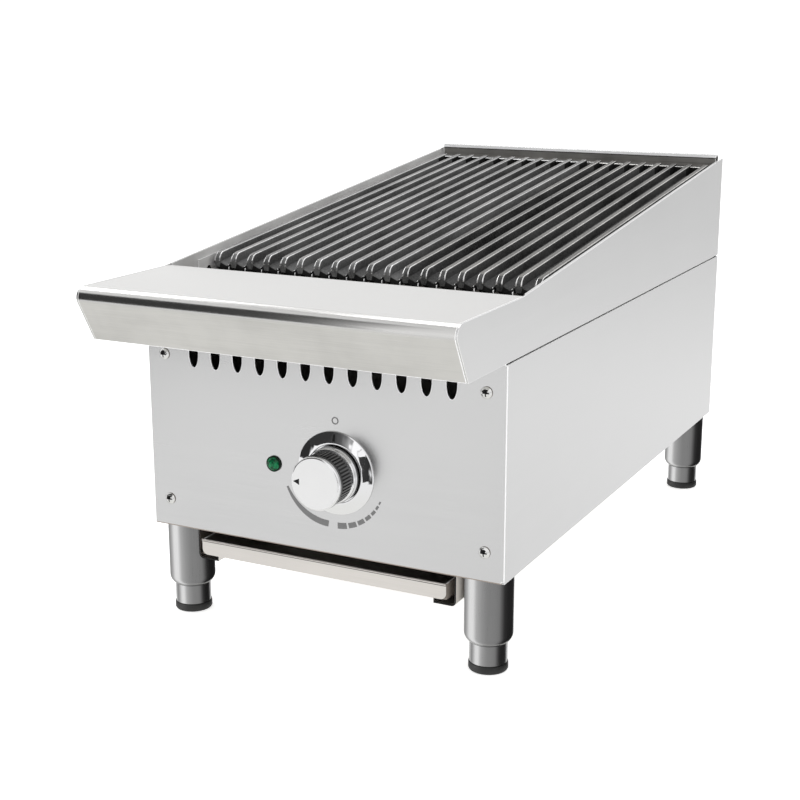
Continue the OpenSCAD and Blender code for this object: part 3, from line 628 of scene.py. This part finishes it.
def make_knob(chrome, band, face, groove, black):
    """Chrome skirt, knurled band, polished collar and a satin face. The band, the collar's foot and the
    knob's back are a dark plate standing for painted shade, and the knurl's grooves are painted darker still.
    """
    CHROME, SHADED_BAND, FACE, SHADED_GROOVE = 0, 1, 2, 3
    ribs, rib_height = 48, 0.7
    rear, out = -span("knob")[1].y, -span("knob")[0].y
    grip_low, grip_high = 11.4, out - 6.3

    def knurl(radius, height, angle):
        on_grip = grip_low < height < grip_high
        in_groove = math.cos(ribs * angle) < -0.1
        return radius - rib_height if on_grip and in_groove else radius

    # The knob's back is painted dark as the shade in the gap over the bezel.
    core = [(0, 9.6, SHADED_BAND), (11.8, 9.6, SHADED_BAND), (11.8, rear, SHADED_BAND), (21.3, rear, SHADED_BAND),
            (21.8, rear + 0.5, SHADED_BAND)]
    skirt = [(21.8, 6.5, CHROME), (21.8, 8.6, CHROME), (21.5, 9.6, CHROME), (20.9, 10.3, CHROME),
             (19.4, 10.7, SHADED_BAND), (19.4, grip_low, SHADED_BAND)]
    grip = [(20.1, grip_low + 0.3, SHADED_BAND), (20.1, grip_high - 0.3, SHADED_BAND), (19.4, grip_high, SHADED_BAND)]
    collar = [(19.4, out - 5.6, SHADED_BAND), (20.4, out - 5.2, SHADED_BAND), (20.7, out - 4.7, SHADED_BAND),
              (20.7, out - 2.6, CHROME), (20.5, out - 1.0, CHROME), (20.0, out - 0.4, CHROME)]
    front = [(19.3, out - 0.12, FACE), (19.0, out - 0.1, FACE), (0, out - 0.1, FACE)]
    profile = core + skirt + grip + collar + front
    centre = middle("knob")
    mesh = lathe("knob_turned", profile, centre, False, segments=8 * ribs, ripple=knurl)
    # Painted shade in the knurl's grooves.
    for polygon in mesh.polygons:
        spot = (polygon.center - at(centre.x, 0, centre.z)) / MM
        if grip_low < -spot.y < grip_high and math.cos(ribs * math.atan2(spot.z, spot.x)) < 0.35:
            polygon.material_index = SHADED_GROOVE
    mats = [chrome, band, face, groove]
    add_piece("knob_turned", mesh, "control_knob", mats, ("knob",), sharp=30.0)
    refined("knob_pointer", [black], edge=0.1)


def make_bezel(chrome, black):
    """A polished ring that falls away to a thin rim, with a black index slot at its top."""
    centre = middle("knob_bezel")
    low, high = span("knob_bezel")
    rim, top = high.x - centre.x, -low.y
    bore, seat = 8.8, 1.3
    inner, crown = rim - 9.8, rim - 9.0
    width, drop = 8.2, top - 1.0

    def fall(part):
        """Height of the ring's sloping face, part of the way from its crown to its rim."""
        return top - drop * part ** 1.12

    back = [(bore, 0.1, 0), (rim - 0.2, 0.1, 0), (rim, 0.3, 0), (rim, 0.6, 0), (rim - 0.25, 0.85, 0)]
    slope = [(crown + width * k / 8, fall(k / 8), 0) for k in range(8, -1, -1)]
    lip = [(inner + 0.4, top - 0.02, 0), (inner + 0.1, top - 0.15, 0), (inner, top - 0.4, 0),
           (inner, seat, 0), (bore, seat, 0)]
    mesh = lathe("bezel_turned", back + slope + lip, centre, False)
    add_piece("bezel_turned", mesh, "housing", [chrome], ("knob_bezel",))

    bm = bmesh.new()
    rings = []
    for radius, half in ((25.2, 1.1), (27.0, 1.0), (29.0, 0.9), (30.4, 0.7)):
        height = fall((radius - crown) / width) + 0.07
        up = centre.z + radius
        rings.append([at(centre.x - half, 0.6 - height, up), at(centre.x - half, -height, up),
                      at(centre.x + half, -height, up), at(centre.x + half, 0.6 - height, up)])
    loft(bm, rings, [0] * 4)
    add_piece("bezel_index", from_bmesh("bezel_index", bm), "housing", [black])


def make_lamp(ring, green):
    """A thin dark ring and a stepped, domed green lens."""
    centre = middle("lamp_lens")
    rim = span("lamp_body")[1].x - middle("lamp_body").x
    refined("lamp_body", [ring], edge=0.25)
    lens = rim - 1.0
    side = [(0, 0.7, 0), (lens - 0.1, 0.7, 0), (lens, 1.5, 0), (lens - 0.5, 2.2, 0), (3.7, 2.9, 0)]
    steps = [(3.5, 2.75, 0), (2.2, 3.4, 0), (2.0, 3.3, 0), (0.9, 3.75, 0), (0, 3.8, 0)]
    mesh = lathe("lens_moulded", side + steps, centre, False, segments=72)
    add_piece("lens_moulded", mesh, "housing", [green], ("lamp_lens",))


SCREW_X = 137.0
SCREW_HEIGHTS = (22.5, 52.0, 141.0)     # low on the front panel, low on the back panel, high on both


def make_screws(node, mats):
    """Pan heads with a brown-stained rim, darkened further as a painted outline shadow; the cross recess and
    a patch above it are painted black as shade.
    """
    places = [Vector((side * SCREW_X, 0, z)) for side in (-1, 1) for z in SCREW_HEIGHTS]
    outward = -1 if node.startswith("front") else 1
    face_y = 0.0 if outward < 0 else span("back_panel")[1].y

    def recess(spot, normal, number):
        flat = Vector((spot.x, 0, spot.z))
        centre = min(places, key=lambda p: (flat - p).length)
        near = (flat - centre).length
        depth = outward * (spot.y - face_y)
        # Painted shade: the cross recess and a patch above it take the black; the rim's outer flank takes the
        # brown stain, darkened as an outline shadow.
        in_cross = near < 2.75 and depth > 0.9 and (abs(normal.y) < 0.5 or depth < 1.5)
        patch = near < 3.0 and spot.z > centre.z + 0.5 and spot.x < centre.x + 1.6 and depth > 0.5
        if in_cross or patch:
            return 1
        return 2 if depth < 0.75 else 0

    refined(node, mats, edge=0.12, paint=recess)


# ---------------------------------------------------------------- legs

def make_leg_tube(leg, steel):
    """A tube rolled in at its lower end."""
    centre = middle(leg + "_leg")
    low, high = span(leg + "_leg")
    tube_r = high.x - centre.x
    roll_r, mouth, bore = 8.5, 14.8, 6.1
    roll_z = low.z + 7
    sweep = math.acos((mouth - tube_r + roll_r) / roll_r)
    turns = [sweep * k / 10 for k in range(10, -1, -1)]
    roll = [(tube_r - roll_r + roll_r * math.cos(a), roll_z - roll_r * math.sin(a), 0) for a in turns]
    top = [(tube_r, -0.5, 0), (tube_r - 0.3, -0.1, 0), (tube_r - 0.8, 0, 0), (bore, 0, 0)]
    profile = [(bore, low.z, 0), (mouth - 0.6, low.z, 0)] + roll + top
    mesh = lathe(leg + "_tube", profile, centre, True)
    add_piece(leg + "_tube", mesh, "housing", [steel], (leg + "_leg",))


def make_foot(leg, steel):
    """A round foot with its threaded stem."""
    centre = middle(leg + "_leg")
    low, high = span(leg + "_foot")
    barrel_r = high.x - centre.x
    barrel_top = high.z - 30
    pitch, root, crest = 1.5, 5.35, 5.95
    barrel = [(0, low.z, 0), (barrel_r - 0.4, low.z, 0), (barrel_r, low.z + 0.4, 0),
              (barrel_r, barrel_top - 0.7, 0), (barrel_r - 0.2, barrel_top - 0.2, 0),
              (barrel_r - 0.7, barrel_top, 0)]
    thread = []
    for k in range(int((high.z - barrel_top - 1) / pitch)):
        base = barrel_top + k * pitch + 0.2
        thread += [(root, base, 0), (crest, base + pitch / 2, 0)]
    profile = barrel + thread + [(5.0, high.z, 0), (0, high.z, 0)]
    mesh = lathe(leg + "_barrel", profile, centre, True, segments=96)
    add_piece(leg + "_barrel", mesh, leg + "_foot", [steel], (leg + "_foot",))


def make_pad(leg, rubber):
    """The moulded pad that a foot stands on."""
    centre = middle(leg + "_leg")
    low, high = span(leg + "_pad")
    pad_r = high.x - centre.x
    underside = [(0, low.z, 0), (pad_r - 1.8, low.z, 0), (pad_r - 0.6, low.z + 0.4, 0)]
    side = [(pad_r, low.z + 1.4, 0), (pad_r, high.z - 0.9, 0), (pad_r - 0.2, high.z - 0.3, 0)]
    profile = underside + side + [(pad_r - 0.7, high.z, 0), (0, high.z, 0)]
    mesh = lathe(leg + "_moulding", profile, centre, True, segments=96)
    add_piece(leg + "_moulding", mesh, leg + "_foot", [rubber], (leg + "_pad",))


# ---------------------------------------------------------------- sheet details

# The second place is mostly the near-white cut edge, which also serves as a painted highlight on rolled
# edges.
SHEET, SECOND, THIRD, FOURTH = 0, 1, 2, 3              # places in a sheet's list of materials
HEM_TOP, HEM_FOOT, HEM_GROOVE = 0.6, 2.8, 3.7       # how far below the splash's top the painted highlight on its hem starts and ends, and the painted shadow under it ends
STAIN_Z = 0.9                                       # height of the stain along the front panel's foot


def seam_painter():
    """The side sheets' joint, the strip behind it and the slope's outer edge take the painted seam shadow;
    the upper sheet is smoked inside.
    """
    seam_z = span("right_side_panel")[1].z
    foot_z = span("right_upper_side")[0].z
    half = span("right_side_panel")[1].x

    def paint(spot, normal, number):
        inward = normal.x * spot.x < 0
        joint = seam_z + 0.9 < spot.z < foot_z + 0.35
        lap = not inward and abs(spot.x) < half - 1.0 and foot_z - 14 < spot.z < foot_z + 12
        slope_edge = not inward and normal.z > 0.3 and abs(normal.x) > 0.3 and spot.y > KINK_Y + 30
        if joint or lap or slope_edge:
            return THIRD
        return FOURTH if inward and spot.z > foot_z and abs(normal.x) > 0.9 else number

    return paint


def splash_painter():
    """The back splash: smoked on its face and clean behind, with a strip along its hem painted bright as a
    highlight and a painted shadow in the groove under it.
    """
    top = span("back_splash")[1].z

    def paint(spot, normal, number):
        if spot.z > top - HEM_TOP or normal.y > 0.6:
            return THIRD
        # A painted highlight along the hem, then a painted shadow under it.
        if spot.z > top - HEM_FOOT:
            return SECOND
        return FOURTH if spot.z > top - HEM_GROOVE else number

    return paint


def ledge_painter():
    """The ledge's lower face is more worn than its deck."""
    def paint(spot, normal, number):
        lower_face = normal.z < -0.2 and normal.y < -0.5
        return THIRD if lower_face and number == SHEET else number

    return paint


def foot_painter():
    """The front panel's foot is stained along its edge."""
    def paint(spot, normal, number):
        return THIRD if spot.z < STAIN_Z and spot.y < 0.8 else number

    return paint


def tray_painter():
    """The underside of the tray's rolled hem is painted black as shade, and only the hem keeps the bright
    edge material as a painted highlight; its side walls and the ends of its sheet are heat-stained.
    """
    low, high = span("drip_tray")
    groove, hem = 3.4, 2.0              # how far below the tray's top the painted shade and the hem's painted highlight end

    def paint(spot, normal, number):
        # Painted shade: the underside of the rolled hem is black.
        if spot.y < low.y + 1.2 and spot.z > high.z - groove and normal.z < -0.15:
            return THIRD
        side = abs(spot.x) > high.x - 0.7 and abs(normal.x) > 0.8
        end = normal.y < -0.8 and spot.y > low.y + 1.3
        if side or end:
            return FOURTH
        # Only the hem keeps the bright edge material, as a painted highlight.
        return SHEET if number == SECOND and spot.z < high.z - hem else number

    return paint


def runner_painter():
    """A runner's outer web is dull and pale, and the cut end of its foot is painted black as shade."""
    low, high = span("right_runner")

    def paint(spot, normal, number):
        if abs(spot.x) > high.x - 0.6 and abs(normal.x) > 0.8:
            return SECOND
        # Painted shade: the front end of the runner's foot is black.
        shaded_foot_end = normal.y < -0.5 and spot.z < low.z + 6.5 and abs(spot.x) < high.x - 1.6
        return THIRD if shaded_foot_end else SHEET

    return paint


# ---------------------------------------------------------------- everything

def make_looks():
    """The object's materials by their short names; a list is in the order of a piece's material numbers."""
    along_x, along_y, along_z = (0.02, 1.0, 1.0), (1.0, 0.02, 1.0), (1.0, 1.0, 0.03)
    warm, worn = (0.637, 0.632, 0.622), (0.637, 0.629, 0.615)
    look = {
        "sheet": brushed("stainless_sheet", along_x, 0.63, 0.24),
        "side": brushed("stainless_side", along_y, 0.645, 0.22),
        "ledge": brushed("stainless_ledge", along_x, warm, 0.2, contrast=0.035, depth=0.00002),
        "worn": brushed("worn_sheet", along_x, worn, 0.26, contrast=0.09, marks=1.6, depth=0.00003),
        # Near-white, barely metallic edge steel: partly the bright cut metal, partly a painted highlight on
        # rolled edges.
        "cut": brushed("sheet_cut_edge_and_highlight", along_z, 0.97, 0.30, contrast=0.02, metallic=0.2),
        "splash": brushed("splash_sheet", along_x, (0.27, 0.262, 0.25), 0.4, contrast=0.3, marks=1.0),
        "tray": brushed("tray_sheet", along_x, (0.72, 0.69, 0.655), 0.3, contrast=0.05, marks=0.9),
        "inner": brushed("inner_sheet", along_y, (0.36, 0.35, 0.335), 0.42, contrast=0.2, marks=1.0),
        "liner": dull("liner_sheet", (0.85, 0.84, 0.83), (0.55, 0.545, 0.54), 0.45, grain=300.0),
        "leg": brushed("leg_steel", along_z, 0.445, 0.27, contrast=0.06, marks=0.7),
        "sheath": brushed("element_sheath", along_y, (0.22, 0.2, 0.19), 0.5, contrast=0.3),
        "chrome": plated("chrome_plate", (0.86, 0.86, 0.87), 0.05),
        "bezel": plated("bezel_chrome", (0.84, 0.84, 0.85), 0.0, waviness=0.0005),
        # Painted shade: the knurled band and the knob's back are dark plate, and the knurl's grooves darker
        # still.
        "band": plated("knurled_band_painted_shade", 0.17, 0.25, contrast=0.3),
        "groove": plated("knurl_groove_painted_shade", 0.045, 0.3, contrast=0.3),
        "face": plated("satin_face", 0.86, 0.3, contrast=0.03),
        "zinc": plated("zinc_plate", (0.80, 0.80, 0.79), 0.12),
        "black": dull("black_plastic", 0.02, 0.008, 0.45, gloss=0.12),
        "lamp_ring": dull("lamp_ring", (0.004, 0.022, 0.009), (0.002, 0.006, 0.003), 0.35, gloss=0.12),
        "shadow": dull("seam_shadow", 0.05, 0.03, 0.7),
        "stain": dull("edge_stain", (0.33, 0.28, 0.24), (0.25, 0.21, 0.18), 0.6),
        # Brown heat stain; on the screws' rims it also stands for a painted outline shadow.
        "heat": dull("heat_stain_and_shade", (0.26, 0.225, 0.195), (0.17, 0.148, 0.13), 0.6),
        "smoked": dull("smoked_steel", (0.82, 0.815, 0.805), (0.4, 0.395, 0.39), 0.45, grain=300.0),
        "web": dull("runner_web", (0.72, 0.68, 0.63), (0.62, 0.58, 0.53), 0.5),
        "rubber": dull("foot_rubber", 0.022, 0.010, 0.5, grain=900.0),
        "ink": dull("scale_ink", 0.18, 0.15, 0.5),
        "ceramic": dull("block_ceramic", (0.85, 0.82, 0.75), (0.72, 0.69, 0.62), 0.45),
        "cover": dull("lead_cover", 0.10, 0.06, 0.5),
        "green": lamp_green("lamp_green"),
    }
    # Painted shade under the noses, beneath the beds and around the rear rail.
    under_shade = cast_iron("under_shade", 0.02, 0.006, 0.6, 0.0, gloss=0.1)
    # The left casting's iron is a lighter copy of the right's, painted in for the brighter sheen it catches.
    look["left_grate"] = [
        cast_iron("left_iron", 0.2, 0.06, 0.45, 0.2, gloss=0.2),
        cast_iron("left_iron_ridge", (0.3, 0.295, 0.29), 0.13, 0.4, 0.4),
        # Polished edges, made near-white as a painted highlight, on the noses and, as lines, along the
        # ridges.
        cast_iron("left_iron_edge", 0.97, 0.75, 0.18, 1.0),
        under_shade,
        cast_iron("left_iron_line", 0.85, 0.4, 0.24, 1.0),
    ]
    look["right_grate"] = [
        cast_iron("right_iron", 0.115, 0.005, 0.45, 0.05, gloss=0.12),
        cast_iron("right_iron_ridge", (0.23, 0.225, 0.215), (0.05, 0.048, 0.046), 0.42, 0.3),
        cast_iron("right_iron_edge", (0.97, 0.96, 0.95), 0.75, 0.18, 1.0),
        under_shade,
        cast_iron("right_iron_line", (0.9, 0.88, 0.85), 0.3, 0.24, 1.0),
    ]
    return look


def make_controls(look):
    """The knob, its bezel, the lamp and the printed scale."""
    make_knob(look["chrome"], look["band"], look["face"], look["groove"], look["black"])
    make_bezel(look["bezel"], look["black"])
    make_lamp(look["lamp_ring"], look["green"])
    scale = frame["nodes"]["dial_scale"].data
    scale.materials.clear()
    scale.materials.append(look["ink"])
    stood_for.add("dial_scale")


def make_sheets(look):
    """The outer sheets, the tray and the liners, each painted in its own way."""
    seam, runner = seam_painter(), runner_painter()
    sides = [look[name] for name in ("side", "cut", "shadow", "smoked")]
    for side in ("left", "right"):
        refined(side + "_side_panel", sides, edge=0.5, paint=seam)
        refined(side + "_upper_side", sides, edge=0.5, paint=seam)
        refined(side + "_runner", [look["tray"], look["web"], look["black"]], paint=runner)
        refined(side + "_liner", [look["liner"], look["cut"]], edge=0.4)
    refined("front_ledge", [look["ledge"], look["cut"], look["worn"]], edge=0.5, paint=ledge_painter())
    panel = [look["sheet"], look["cut"], look["stain"]]
    refined("front_panel", panel, edge=0.4, paint=foot_painter(), split_z=(STAIN_Z,), clamp=False)
    tray = [look["tray"], look["cut"], look["black"], look["heat"]]
    refined("drip_tray", tray, edge=0.3, paint=tray_painter())
    splash = [look["splash"], look["cut"], look["side"], look["shadow"]]
    splash_top = span("back_splash")[1].z
    hem = [splash_top - drop for drop in (HEM_TOP, HEM_FOOT, HEM_GROOVE)]
    refined("back_splash", splash, edge=0.5, paint=splash_painter(), split_z=hem)
    refined("back_liner", [look["inner"], look["cut"]], edge=0.4)


def make_plain_pieces(look):
    """Every node that has no finished piece yet, in the material of its slot."""
    by_slot = {
        "stainless": ("sheet", "cut"), "inner_steel": ("inner",), "element_sheath": ("sheath",),
        "chrome": ("chrome",), "zinc": ("zinc",), "black_plastic": ("black",), "lead_cover": ("cover",),
        "ceramic": ("ceramic",), "foot_rubber": ("rubber",),
    }
    for part in frame["record"]["subparts"]:
        if part["node"] not in stood_for:
            names = by_slot[part["material_slot"]]
            refined(part["node"], [look[name] for name in names], edge=0.5 if len(names) > 1 else 0.3)


def build():
    """Every finished piece, the finer ones first."""
    look = make_looks()
    make_grate("left_grate", 0, LEFT_BARS, LEFT_BARS, look["left_grate"])
    make_grate("right_grate", LEFT_BARS, RIGHT_BARS, RIGHT_BARS - 1, look["right_grate"])
    make_controls(look)
    for leg in LEGS:
        make_leg_tube(leg, look["leg"])
        make_foot(leg, look["leg"])
        make_pad(leg, look["rubber"])
    for screws in ("front_panel_screws", "back_panel_screws"):
        make_screws(screws, [look["zinc"], look["black"], look["heat"]])
    make_sheets(look)
    make_plain_pieces(look)


bpy.context.scene.view_settings.view_transform = "Standard"
make_camera()
make_floor()
make_lamps()
make_dark_cards()
make_leg_cards()
make_world()
build()
